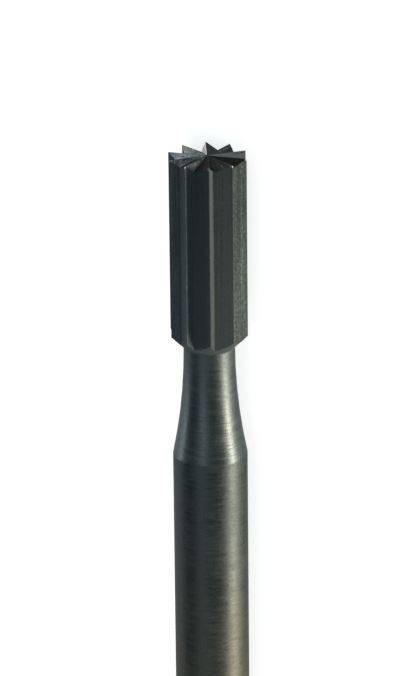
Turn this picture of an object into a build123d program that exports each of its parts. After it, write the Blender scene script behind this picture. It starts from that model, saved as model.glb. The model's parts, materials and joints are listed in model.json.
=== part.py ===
# A square-end cylinder burr for a handpiece, lying on a bench. All sizes are in millimetres.
#
# The burr is one piece of steel: a toothed head, a slim turned neck and a round shank. It lies
# along Y with its cutting end at +Y, on two neighbouring teeth of the head. The origin is on the
# bench under the middle of its length.

from build123d import *
import os
from math import cos, degrees, radians, sin, tan

# Whole burr
overall_length = 44.5

# Shank: a standard round handpiece shank
shank_diameter = 2.35
shank_end_chamfer = 0.25

# Neck: slimmest behind the head, flaring to the shank along one arc
neck_diameter = 1.61
neck_length = 3.6

# Head
head_diameter = 2.5
head_length = 5.84  # from the end plane to the start of the rear chamfer
head_chamfer_angle = 45  # between the rear chamfer and the axis
tooth_count = 10
tooth_land = 0.02  # width of the margin along each cutting edge

# Flutes, along the side of the head
flute_rake = 24  # a negative rake: the cutting face leans this far from the radius
flute_back_angle = 38  # between a tooth's back and the tangent at its cutting edge
flute_root_radius = 0.04

# Gashes, across the end of the head
gash_rake = 35  # the cutting face leans this far from the axis
gash_relief_angle = 27  # fall of an end tooth's back from the end plane

# Radii, lengths and angles that follow
shank_radius = shank_diameter / 2
neck_radius = neck_diameter / 2
head_radius = head_diameter / 2
head_chamfer_length = (head_radius - neck_radius) / tan(radians(head_chamfer_angle))
tooth_pitch = 360 / tooth_count
half_pitch = tooth_pitch / 2
half_land_angle = degrees(tooth_land / 2 / head_radius)

# Places along Y, and the height at which two teeth carry the axis
tip_y = overall_length / 2
head_back_y = tip_y - head_length
neck_front_y = head_back_y - head_chamfer_length
neck_back_y = neck_front_y - neck_length
shank_end_y = tip_y - overall_length
axis_height = head_radius * cos(radians(half_pitch - half_land_angle))

burr_axis = Axis((0, 0, axis_height), (0, 1, 0))
# The end plane of the head. It looks along the axis from the tip, with its own y pointing down.
end_plane = Plane(origin=(0, tip_y, axis_height), x_dir=(1, 0, 0), z_dir=(0, 1, 0))
straight_down = 90
first_tooth_angle = straight_down + half_pitch


def on_circle(radius, angle):
    """A point of the end plane, by its distance from the axis and its angle."""
    return Vector(radius, 0).rotate(Axis.Z, angle)


# The cutter of one gash: a wedge from the middle of the end, between two cutting edges that lie in
# the end plane. Its steep side is the cutting face of one end tooth, and its other side is the
# sloping back of the next. Both sides pass through the wedge's point, and so does their meeting
# line, the floor of the gash.
rake_edge = Vector(1, 0, 0).rotate(Axis.Z, -half_pitch)
back_edge = Vector(1, 0, 0).rotate(Axis.Z, half_pitch)
rake_fall = Vector(0, 0, -1).rotate(Axis((0, 0, 0), rake_edge), gash_rake)
back_fall = back_edge.rotate(Axis.Z, -90).rotate(Axis((0, 0, 0), back_edge), gash_relief_angle)
floor_line = rake_edge.cross(rake_fall).cross(back_edge.cross(back_fall))
gash_reach = head_diameter
floor_end = floor_line * (gash_reach / floor_line.X)
mouth_half_width = gash_reach * tan(radians(half_pitch))

with BuildPart() as gash:
    with BuildSketch(Plane.YZ.offset(gash_reach)) as mouth:
        with BuildLine():
            Polyline(
                (-mouth_half_width, 0),
                (floor_end.Y, floor_end.Z),
                (mouth_half_width, 0),
                (mouth_half_width, gash_reach),
                (-mouth_half_width, gash_reach),
                close=True,
            )
        make_face()
    loft(sections=[Vertex(0, 0, 0), mouth.sketch.face()])

with BuildPart() as burr:
    # The turned blank, as half of its lengthwise section spun about the axis
    with BuildSketch(Plane.XY.offset(axis_height)):
        with BuildLine():
            Polyline(
                (0, tip_y),
                (head_radius, tip_y),
                (head_radius, head_back_y),
                (neck_radius, neck_front_y),
            )
            TangentArc(
                (neck_radius, neck_front_y),
                (shank_radius, neck_back_y),
                tangent=(0, -1),
            )
            Polyline(
                (shank_radius, neck_back_y),
                (shank_radius, shank_end_y),
                (0, shank_end_y),
                (0, tip_y),
            )
        make_face()
    revolve(axis=burr_axis)
    shank_end_edge = burr.edges().filter_by(GeomType.CIRCLE).sort_by(Axis.Y)[0]
    chamfer(shank_end_edge, shank_end_chamfer)

    # Flutes, milled straight along the head and out through its rear chamfer
    with BuildSketch(end_plane) as flutes:
        with BuildSketch(mode=Mode.PRIVATE) as flute:
            with BuildLine():
                cutting_edge = on_circle(head_radius, half_land_angle)
                heel = on_circle(head_radius, tooth_pitch - half_land_angle)
                back = PolarLine(heel, head_radius, tooth_pitch - half_land_angle - 90 - flute_back_angle,
                                 mode=Mode.PRIVATE)
                rake = PolarLine(cutting_edge, back, half_land_angle + 180 - flute_rake)
                Polyline(
                    rake @ 1,
                    heel,
                    on_circle(head_diameter, tooth_pitch - half_land_angle),
                    on_circle(head_diameter, half_land_angle),
                    cutting_edge,
                )
            make_face()
            root = flute.vertices().sort_by_distance(rake @ 1)[0]
            fillet(root, flute_root_radius)
        with PolarLocations(0, tooth_count, start_angle=first_tooth_angle):
            add(flute.sketch)
    extrude(amount=-(head_length + head_chamfer_length), mode=Mode.SUBTRACT)

    # Gashes, ground across the end between the cutting edges
    point_radius = tooth_land / 2 / sin(radians(half_pitch))
    with Locations(end_plane):
        with PolarLocations(point_radius, tooth_count, start_angle=first_tooth_angle + half_pitch):
            add(gash.part, mode=Mode.SUBTRACT)

burr.part.label = "burr"
os.makedirs("parts", exist_ok=True)
export_step(burr.part, "parts/burr.step")
print("burr:", burr.part.volume, "cubic mm,", burr.part.bounding_box().size)
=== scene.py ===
# %% [markdown]
# # A carbide burr on a white bench
#
# This lesson dresses a finished CAD model: a square-end cylinder burr, the small cutter that turns
# in a handpiece. The model comes in as a fixed frame, in metres. It is one piece of metal, so the
# looks depend on three things: what each stretch of its surface is, what surrounds it, and where
# the camera stands.

import json
from math import pi, radians, tan

import bmesh
import bpy
from mathutils import Matrix, Vector


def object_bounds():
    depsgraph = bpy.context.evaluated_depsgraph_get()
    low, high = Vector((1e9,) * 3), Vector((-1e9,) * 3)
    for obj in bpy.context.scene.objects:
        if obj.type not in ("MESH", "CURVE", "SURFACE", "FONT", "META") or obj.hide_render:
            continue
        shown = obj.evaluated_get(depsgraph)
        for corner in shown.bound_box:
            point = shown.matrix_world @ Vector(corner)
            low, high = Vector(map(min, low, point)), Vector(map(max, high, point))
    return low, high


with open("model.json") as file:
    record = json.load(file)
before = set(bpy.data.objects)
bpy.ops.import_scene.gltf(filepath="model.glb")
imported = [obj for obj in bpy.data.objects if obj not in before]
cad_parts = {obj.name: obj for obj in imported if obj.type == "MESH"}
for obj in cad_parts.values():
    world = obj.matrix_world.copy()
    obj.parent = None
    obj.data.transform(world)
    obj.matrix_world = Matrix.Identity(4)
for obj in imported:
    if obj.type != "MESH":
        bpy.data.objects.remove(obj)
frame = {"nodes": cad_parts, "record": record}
cad_low, cad_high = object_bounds()
burr = frame["nodes"]["burr"]
print("burr reaches from", cad_low, "to", cad_high)

# %% [markdown]
# ## Where things are along the burr
#
# The burr lies along Y with its cutting end at +Y, on the bench at height zero. Its axis is a
# little above the bench, as high as two neighbouring teeth carry it. Three stretches follow each
# other from the tip: the milled head, the turned neck and the ground shank. The frame's box ends at
# the tip, and its record gives the shank, as a pin with a middle and a length. Both are turned to
# millimetres, the unit of everything so small.

# %% Stations along the axis, in millimetres
MM = 0.001
NECK_LENGTH = 3.6
shank = next(mount for mount in frame["record"]["mounts"] if mount["name"] == "shank")
axis_height = shank["pos_m"][2] / MM
tip_y = cad_high[1] / MM
head_radius = cad_high[0] / MM
neck_back_y = shank["pos_m"][1] / MM + shank["dims"]["length_mm"] / 2
neck_front_y = neck_back_y + NECK_LENGTH
middle_of_end = Vector((0, tip_y, axis_height)) * MM
print("tip at", tip_y, "neck from", neck_front_y, "to", neck_back_y, "axis at", axis_height)

# %% [markdown]
# ## The camera
#
# A small thing is seen through a long lens from nearby, so that its sides stay nearly parallel. The
# camera looks at a point beside the axis, near the back of the head. Its direction is given as two
# angles: how far it leans from straight above the bench towards +X, and how far it leans towards
# the tip, so that the end teeth show. A small roll turns the burr in the frame. The lens is set
# for the longer side of the frame, which is its height.

# %% Camera
CAMERA_DISTANCE = 148.56 * MM
LEAN_TO_TIP = radians(21.83)
LEAN_TO_SIDE = radians(16.0)
ROLL = radians(-0.594)
TARGET_FROM_TIP = Vector((-0.037, -6.037, 0)) * MM
FOCAL_PIXELS = 4766.6
FRAME_HEIGHT_PIXELS = 676
SENSOR_SIZE = 36
NEAREST_SEEN = 10 * MM

side_on = Matrix.Rotation(LEAN_TO_SIDE, 3, "Y")
to_camera = side_on @ Matrix.Rotation(-LEAN_TO_TIP, 3, "X") @ Vector((0, 0, 1))
to_right = side_on @ Vector((1, 0, 0))
to_top = to_camera.cross(to_right)
target = middle_of_end + side_on @ TARGET_FROM_TIP

camera_data = bpy.data.cameras.new("camera")
camera_data.sensor_width = SENSOR_SIZE
camera_data.lens = SENSOR_SIZE * FOCAL_PIXELS / FRAME_HEIGHT_PIXELS
camera_data.clip_start = NEAREST_SEEN
camera = bpy.data.objects.new("camera", camera_data)
bpy.context.scene.collection.objects.link(camera)
bpy.context.scene.camera = camera
turn = Matrix((to_right, to_top, to_camera)).transposed()
camera.matrix_world = (
    Matrix.Translation(target + to_camera * CAMERA_DISTANCE)
    @ (turn @ Matrix.Rotation(ROLL, 3, "Z")).to_4x4()
)
print("camera at", camera.matrix_world.translation, "lens", camera_data.lens)

# %% [markdown]
# ## Colours and nodes
#
# Colours are written as sRGB hex values, the way a colour picker shows them, and one function turns
# them into the linear numbers that a shader works with. A second one adds a node, and each of its
# inputs is given a number, a colour or the output of an earlier node. So each step of a material is
# one call.


# %% Two helpers
def linear(hex_colour):
    """The linear colour of an sRGB hex value."""
    values = [int(hex_colour[i : i + 2], 16) / 255 for i in (1, 3, 5)]
    return [v / 12.92 if v <= 0.04045 else ((v + 0.055) / 1.055) ** 2.4 for v in values] + [1]


def add_node(tree, kind, inputs=None, **settings):
    """A new node with its settings; an input takes a value, or a link from another node."""
    node = tree.nodes.new(kind)
    for name, value in settings.items():
        setattr(node, name, value)
    for name, value in (inputs or {}).items():
        if isinstance(value, bpy.types.NodeSocket):
            tree.links.new(value, node.inputs[name])
        else:
            node.inputs[name].default_value = value
    return node


print("dark steel is about", linear("#42494b")[:3])

# %% [markdown]
# ## The bench
#
# The burr lies on a smooth white board, which is large enough to fill the view from any side. Its
# eggshell paint scatters most of the light and mirrors a little of it, more so at a low angle. It
# also glows where the eye or a reflection meets it, as a lit backdrop does, so it reads as clean
# white but still takes the burr's soft shadow.

# %% Bench
BENCH_HALF_WIDTH = 3.0
BENCH_ROUGHNESS = 0.5
BENCH_GLOW = 0.72

bench_mesh = bmesh.new()
bmesh.ops.create_grid(bench_mesh, x_segments=1, y_segments=1, size=BENCH_HALF_WIDTH)
bench_data = bpy.data.meshes.new("bench")
bench_mesh.to_mesh(bench_data)
bench_mesh.free()
bench = bpy.data.objects.new("bench", bench_data)
bpy.context.scene.collection.objects.link(bench)

white_paint = bpy.data.materials.new("eggshell_white_paint")
white_paint.use_nodes = True
tree = white_paint.node_tree
tree.nodes.clear()
paint = add_node(
    tree,
    "ShaderNodeBsdfPrincipled",
    {"Base Color": linear("#f2f2f0"), "Roughness": BENCH_ROUGHNESS},
)
ray = add_node(tree, "ShaderNodeLightPath")
glowing = 0.0
for kind_of_ray in ("Is Camera Ray", "Is Glossy Ray", "Is Transmission Ray"):
    glowing = add_node(
        tree, "ShaderNodeMath", {0: glowing, 1: ray.outputs[kind_of_ray]}, operation="MAXIMUM"
    ).outputs[0]
strength = add_node(tree, "ShaderNodeMath", {0: glowing, 1: BENCH_GLOW}, operation="MULTIPLY")
glow = add_node(
    tree, "ShaderNodeEmission", {"Color": linear("#ffffff"), "Strength": strength.outputs[0]}
)
both = add_node(tree, "ShaderNodeAddShader", {0: paint.outputs[0], 1: glow.outputs[0]})
add_node(tree, "ShaderNodeOutputMaterial", {"Surface": both.outputs[0]})
bench_data.materials.append(white_paint)
print("bench", BENCH_HALF_WIDTH * 2, "metres wide")

# %% [markdown]
# ## The light
#
# Metal shows its surroundings more than its own colour. The room is a dim cool grey, and soft
# panels stand around the bench. A thin, bright, warm one almost on the horizon at the right draws
# the long highlight on neck and shank, and skims the head, so that the faces that turn to it light
# up and the rest stay dark. Fainter ones stand at the left, over the tip and behind the shank, and
# a slim one overhead draws a thin line along the neck. Each is given by its direction from the
# burr, its width and height as seen from there, and its brightness, where 1 is the brightness of a
# white page.

# %% Room and panels
ROOM_BRIGHTNESS = 0.24
PANEL_DISTANCE = 2.0

world = bpy.data.worlds.new("room")
bpy.context.scene.world = world
world.use_nodes = True
world.node_tree.nodes["Background"].inputs["Color"].default_value = linear("#ceedf3")
world.node_tree.nodes["Background"].inputs["Strength"].default_value = ROOM_BRIGHTNESS


def add_panel(name, direction, angle_wide, angle_high, brightness, colour):
    """A soft panel that faces the burr, sized by the angles it spans as seen from there."""
    lamp = bpy.data.lights.new(name, "AREA")
    lamp.shape = "RECTANGLE"
    lamp.size = 2 * PANEL_DISTANCE * tan(radians(angle_wide / 2))
    lamp.size_y = 2 * PANEL_DISTANCE * tan(radians(angle_high / 2))
    # a panel's power over its area and pi is its brightness
    lamp.energy = brightness * pi * lamp.size * lamp.size_y
    lamp.color = linear(colour)[:3]
    panel = bpy.data.objects.new(name, lamp)
    bpy.context.scene.collection.objects.link(panel)
    towards = Vector(direction).normalized()
    facing = towards.to_track_quat("Z", "Y").to_matrix().to_4x4()
    panel.matrix_world = Matrix.Translation(towards * PANEL_DISTANCE) @ facing
    print(name, "spans", round(lamp.size, 2), "by", round(lamp.size_y, 2), "metres")


add_panel("panel_over_tip", (-0.2, 0.7, 0.7), 40, 40, 0.7, "#f4f9ff")
add_panel("panel_right", (0.94, -0.33, 0.036), 44, 4, 103.0, "#fff0d6")
add_panel("panel_left", (-0.98, -0.08, 0.07), 24, 8, 7.0, "#f4f9ff")
add_panel("panel_overhead", (-0.18, -0.2, 0.95), 3, 40, 9.4, "#f4f9ff")
add_panel("panel_behind", (0.0, -0.85, 0.5), 40, 30, 2.0, "#ffffff")

# %% [markdown]
# ## Steel, cut in three ways
#
# A burr is ground from dark hardened metal, and each stretch keeps the marks of how it was made.
# The flutes of the head are milled along the axis and keep a dull, grainy skin. The gashes across
# its end are ground last, and their faces carry painted light and shade: the cutting faces are
# painted from dark grey to near white, a painted highlight on the bright ones, and the backs of the
# end teeth from steel grey to brown-black, mostly painted shade. The neck is turned, so its lines
# run right round it. The shank is ground between wheels, which leaves short fine lines round it.
# All of it is one piece, so it has one material, which first measures where a point is: its place
# in millimetres from the burr's axis, its radius, and its angle round the axis.

# %% Where a point is
steel = bpy.data.materials.new("burr_steel_milled_turned_and_ground")
steel.use_nodes = True
tree = steel.node_tree
tree.nodes.clear()
place = add_node(tree, "ShaderNodeTexCoord")
in_mm = add_node(
    tree,
    "ShaderNodeMapping",
    {
        "Vector": place.outputs["Object"],
        "Location": (0, 0, -axis_height),
        "Scale": (1 / MM, 1 / MM, 1 / MM),
    },
).outputs[0]
along = add_node(tree, "ShaderNodeSeparateXYZ", {0: in_mm})
across = add_node(tree, "ShaderNodeVectorMath", {0: in_mm, 1: (1, 0, 1)}, operation="MULTIPLY")
radius = add_node(
    tree, "ShaderNodeVectorMath", {0: across.outputs[0]}, operation="LENGTH"
).outputs["Value"]
angle = add_node(
    tree, "ShaderNodeMath", {0: along.outputs["Z"], 1: along.outputs["X"]}, operation="ARCTAN2"
).outputs[0]
print("places are in millimetres, with the axis", axis_height, "above the bench")

# %% [markdown]
# ## Which way a surface faces
#
# The milled and ground faces of the head differ by the way they turn. The dot product of the normal
# with the outward direction is 1 where a face looks straight out from the axis and small on a
# cutting face, and the normal's Y is large on the faces of the end.

# %% Which way a surface faces
outward = add_node(tree, "ShaderNodeVectorMath", {0: across.outputs[0]}, operation="NORMALIZE")
facing_out = add_node(
    tree,
    "ShaderNodeVectorMath",
    {0: place.outputs["Normal"], 1: outward.outputs[0]},
    operation="DOT_PRODUCT",
).outputs["Value"]
facing = add_node(tree, "ShaderNodeSeparateXYZ", {0: place.outputs["Normal"]})
print("normals are compared with the way out from the axis")

# %% [markdown]
# ## Masks
#
# A mask is 1 where a finish belongs and 0 elsewhere. Each one is a measured value between two
# limits: the first is where it starts and the second where it is full. The corners, where the side
# teeth and the end teeth meet, are the points that reach furthest out and furthest forward at once.

# %% Masks for each surface
# half the width of a soft edge, and where scuffs and the darker tip begin along the axis, in
# millimetres
EDGE = 0.03
SCUFFED_FROM_Y = 13.5
DARKER_TIP_FROM_Y = 17.5
# how far short of a corner its wear starts, and where it is full
WEAR_STARTS = 0.08
WEAR_FULL = 0.04
corner_reach = tip_y + head_radius

reach = add_node(
    tree, "ShaderNodeMath", {0: radius, 1: along.outputs["Y"]}, operation="ADD"
).outputs[0]
LIMITS = {
    "scuffed neck": (along.outputs["Y"], SCUFFED_FROM_Y, neck_front_y),
    "shank": (along.outputs["Y"], neck_back_y + EDGE, neck_back_y - EDGE),
    "head": (along.outputs["Y"], neck_front_y - EDGE, neck_front_y + EDGE),
    "darker tip": (along.outputs["Y"], DARKER_TIP_FROM_Y, tip_y),
    "cutting face": (facing_out, 0.68, 0.62),
    "gash": (facing.outputs["Y"], 0.40, 0.50),
    "gash back": (facing.outputs["Y"], 0.70, 0.80),
    "worn corner": (reach, corner_reach - WEAR_STARTS, corner_reach - WEAR_FULL),
}
mask = {}
for surface_name, (value, start, full) in LIMITS.items():
    mask[surface_name] = add_node(
        tree, "ShaderNodeMapRange", {"Value": value, "From Min": start, "From Max": full}
    ).outputs[0]
for surface_name in ("cutting face", "gash", "gash back"):
    mask[surface_name] = add_node(
        tree, "ShaderNodeMath", {0: mask[surface_name], 1: mask["head"]}, operation="MULTIPLY"
    ).outputs[0]
print("masks for", ", ".join(mask))

# %% [markdown]
# ## Patterns
#
# Every mark is noise, drawn out along the way the tool went. The milled lines are a tenth of a
# millimetre apart and several millimetres long, the turned ones run right round the neck, and the
# ground ones are shorter. On the end the wheel went outwards from the middle, so those lines are
# drawn over angle and radius, like spokes. The real grain is too fine to see at this size, so it is
# drawn about three times as coarse.

# %% Patterns, in steps per millimetre, or per radian for the spokes
# the range that noise mostly stays in
NOISE_LOW, NOISE_HIGH = 0.3, 0.7
round_and_out = add_node(tree, "ShaderNodeCombineXYZ", {"X": angle, "Y": radius}).outputs[0]
STEPS = {
    "milled lines": (in_mm, (9, 0.25, 9)),
    "turned rings": (in_mm, (0.6, 9, 0.6)),
    "ground lines": (in_mm, (2, 8, 2)),
    "spokes": (round_and_out, (16, 1.5, 1)),
    "grain": (in_mm, (12, 12, 12)),
    "clouds": (in_mm, (0.8, 0.5, 0.8)),
}
pattern = {}
for name, (position, steps) in STEPS.items():
    stretched = add_node(
        tree, "ShaderNodeVectorMath", {0: position, 1: steps}, operation="MULTIPLY"
    )
    pattern[name] = add_node(
        tree,
        "ShaderNodeTexNoise",
        {"Vector": stretched.outputs[0], "Scale": 1, "Detail": 3, "Roughness": 0.6},
    ).outputs[0]
print("patterns", ", ".join(pattern))

# %% [markdown]
# ## A stain behind the neck
#
# Heat and handling leave a brownish stain on the shank, a little behind the neck. It fades in and
# out along the axis, and broad clouds make it patchy.

# %% Mask for the stain
# where it starts and where it is full, from each end
STAIN_LIMITS = ((10.0, 5.0), (-5.0, 1.0))

mask["stain"] = pattern["clouds"]
for start, full in STAIN_LIMITS:
    fade = add_node(
        tree,
        "ShaderNodeMapRange",
        {"Value": along.outputs["Y"], "From Min": start, "From Max": full},
    )
    mask["stain"] = add_node(
        tree, "ShaderNodeMath", {0: mask["stain"], 1: fade.outputs[0]}, operation="MULTIPLY"
    ).outputs[0]
print("stain between", STAIN_LIMITS[0][0], "and", STAIN_LIMITS[1][0], "mm")

# %% [markdown]
# ## Painted light and shade on the gashes, tooth by tooth
#
# Each end tooth is given a colour of its own, which paints the light and shade that its faces
# catch. Each cutting face comes out somewhere between dark grey and near-white metal, a painted
# highlight on the bright ones, and the back of each tooth from steel grey to brown-black, painted
# shade on the dark ones. The teeth are counted round the axis by their angle, and each count draws
# its own random number. The count of the first tooth was picked from several thousand, so that the
# draws put bright and dark teeth where they are wanted. Streaks and small flecks of bare metal are
# added to the number, and a power then keeps most teeth dark, so that they show only on the bright
# ones.

# %% Painted light and shade for each end tooth
TEETH = 10
# how much streaks and flecks add, and the grain where a fleck starts and where it is full
STREAK_GAIN = 0.25
FLECK_GAIN = 0.35
FLECK_STARTS, FLECK_FULL = 0.58, 0.68
# the count of the first tooth, the power, and the colours of the lowest and highest chance,
# which are painted shade and painted highlight
GASH_PAINTED_LIGHT = {
    "gash": (1392, 2.5, "#383d3e", "#f4f6f4"),
    "gash back": (3988, 4, "#252423", "#6f7274"),
}
streaks = add_node(
    tree,
    "ShaderNodeMapRange",
    {
        "Value": pattern["spokes"],
        "From Min": NOISE_LOW,
        "From Max": NOISE_HIGH,
        "To Min": -STREAK_GAIN,
        "To Max": STREAK_GAIN,
    },
    clamp=False,
)
flecks = add_node(
    tree,
    "ShaderNodeMapRange",
    {
        "Value": pattern["grain"],
        "From Min": FLECK_STARTS,
        "From Max": FLECK_FULL,
        "To Max": FLECK_GAIN,
    },
)
bareness = add_node(
    tree, "ShaderNodeMath", {0: streaks.outputs[0], 1: flecks.outputs[0]}, operation="ADD"
).outputs[0]
painted_light_by_tooth = {}
for surface_name, (first_tooth, power, painted_dark_colour, painted_light_colour) in GASH_PAINTED_LIGHT.items():
    count = add_node(
        tree,
        "ShaderNodeMath",
        {0: angle, 1: TEETH / (2 * pi), 2: first_tooth},
        operation="MULTIPLY_ADD",
    )
    tooth = add_node(tree, "ShaderNodeMath", {0: count.outputs[0]}, operation="FLOOR")
    chance = add_node(
        tree, "ShaderNodeTexWhiteNoise", {"W": tooth.outputs[0]}, noise_dimensions="1D"
    )
    streaked = add_node(
        tree, "ShaderNodeMath", {0: bareness, 1: chance.outputs["Value"]}, operation="ADD"
    )
    mostly_low = add_node(
        tree, "ShaderNodeMath", {0: streaked.outputs[0], 1: power}, operation="POWER"
    )
    # each tooth's colour: a painted highlight on bright teeth, painted shade on dark ones
    painted_light_by_tooth[surface_name] = add_node(
        tree,
        "ShaderNodeMix",
        {0: mostly_low.outputs[0], 6: linear(painted_dark_colour), 7: linear(painted_light_colour)},
        data_type="RGBA",
    ).outputs[2]
print("a colour of its own for", TEETH, "teeth on", ", ".join(painted_light_by_tooth))

# %% [markdown]
# ## Finishes
#
# Each finish has a colour, a roughness, the marks that belong to it and a share of the grain, and
# is laid over the one before it through its mask. The neck comes first: turning leaves it smooth
# and bright, so it carries a sharp highlight, which softens where it is scuffed, up by the head.
# The shank is duller, with its stain. The head is duller still, since light spreads so widely over
# its skin that a lit face looks nearly even, and its colour is darker towards the tip. Last come
# the gashes, with their painted light and shade, and the corners of the teeth, which are worn back
# to bare metal.

# %% Finishes, each laid over the last
# the neck first, and then what is laid over it
colour, roughness, marks, graininess = linear("#4c5354"), 0.38, pattern["turned rings"], 0.35
FINISHES = {
    "scuffed neck": (linear("#464d4e"), 0.50, pattern["turned rings"], 0.5),
    "shank": (linear("#3d4343"), 0.48, pattern["ground lines"], 0.4),
    "stain": (linear("#504d43"), 0.58, pattern["ground lines"], 0.4),
    "head": (linear("#515b5c"), 0.85, pattern["milled lines"], 1.0),
    # the head's colour is made darker towards the tip
    "darker tip": (linear("#475052"), 0.85, pattern["milled lines"], 1.0),
    "cutting face": (linear("#596367"), 0.85, pattern["milled lines"], 1.0),
    # the gash colours are painted light and shade, chosen tooth by tooth
    "gash": (painted_light_by_tooth["gash"], 0.36, pattern["spokes"], 1.0),
    "gash back": (painted_light_by_tooth["gash back"], 0.60, pattern["spokes"], 1.0),
    "worn corner": (linear("#6a6f6f"), 0.40, pattern["grain"], 1.0),
}
for surface_name, (own_colour, own_roughness, own_marks, own_graininess) in FINISHES.items():
    here = mask[surface_name]
    colour = add_node(
        tree, "ShaderNodeMix", {0: here, 6: colour, 7: own_colour}, data_type="RGBA"
    ).outputs[2]
    roughness = add_node(
        tree, "ShaderNodeMix", {0: here, 2: roughness, 3: own_roughness}
    ).outputs[0]
    marks = add_node(tree, "ShaderNodeMix", {0: here, 2: marks, 3: own_marks}).outputs[0]
    graininess = add_node(
        tree, "ShaderNodeMix", {0: here, 2: graininess, 3: own_graininess}
    ).outputs[0]
grain = add_node(tree, "ShaderNodeMix", {0: graininess, 2: 0.5, 3: pattern["grain"]}).outputs[0]
print("finishes on", ", ".join(FINISHES))

# %% [markdown]
# ## Tone and relief
#
# The marks, the grain and broad clouds each lighten and darken the metal a little. The range that
# noise mostly stays in is spread over the change that is wanted. The same patterns also make it
# slightly rougher and smoother, and the marks and the grain stand up as fine relief, which breaks
# up the highlights as tool marks do.

# %% Tone, and relief in millimetres
MARKS_RELIEF = 0.014
GRAIN_RELIEF = 0.004
MARKS_TONE, GRAIN_TONE, CLOUDS_TONE = 0.14, 0.16, 0.08

tone = 1.0
for height, change in (
    (marks, MARKS_TONE),
    (grain, GRAIN_TONE),
    (pattern["clouds"], CLOUDS_TONE),
):
    shade = add_node(
        tree,
        "ShaderNodeMapRange",
        {
            "Value": height,
            "From Min": NOISE_LOW,
            "From Max": NOISE_HIGH,
            "To Min": 1 - change,
            "To Max": 1 + change,
        },
        clamp=False,
    )
    tone = add_node(
        tree, "ShaderNodeMath", {0: tone, 1: shade.outputs[0]}, operation="MULTIPLY"
    ).outputs[0]
toned = add_node(tree, "ShaderNodeVectorMath", {0: colour, "Scale": tone}, operation="SCALE")
worn = add_node(tree, "ShaderNodeMath", {0: roughness, 1: tone}, operation="MULTIPLY")
marks_relief = add_node(
    tree, "ShaderNodeBump", {"Height": marks, "Strength": 1, "Distance": MARKS_RELIEF * MM}
)
relief = add_node(
    tree,
    "ShaderNodeBump",
    {
        "Height": grain,
        "Strength": 1,
        "Distance": GRAIN_RELIEF * MM,
        "Normal": marks_relief.outputs[0],
    },
)
surface = add_node(
    tree,
    "ShaderNodeBsdfPrincipled",
    {
        "Base Color": toned.outputs[0],
        "Metallic": 1,
        "Roughness": worn.outputs[0],
        "Specular Tint": linear("#cccccc"),
        "Normal": relief.outputs[0],
    },
)
add_node(tree, "ShaderNodeOutputMaterial", {"Surface": surface.outputs[0]})
for slot in burr.material_slots:
    slot.material = steel
print("steel on", len(burr.material_slots), "slot")

# %% [markdown]
# ## Finish
#
# The camera's view transform is set to Standard, so colours come out as they are written.

# %% View and finish
bpy.context.scene.view_settings.view_transform = "Standard"
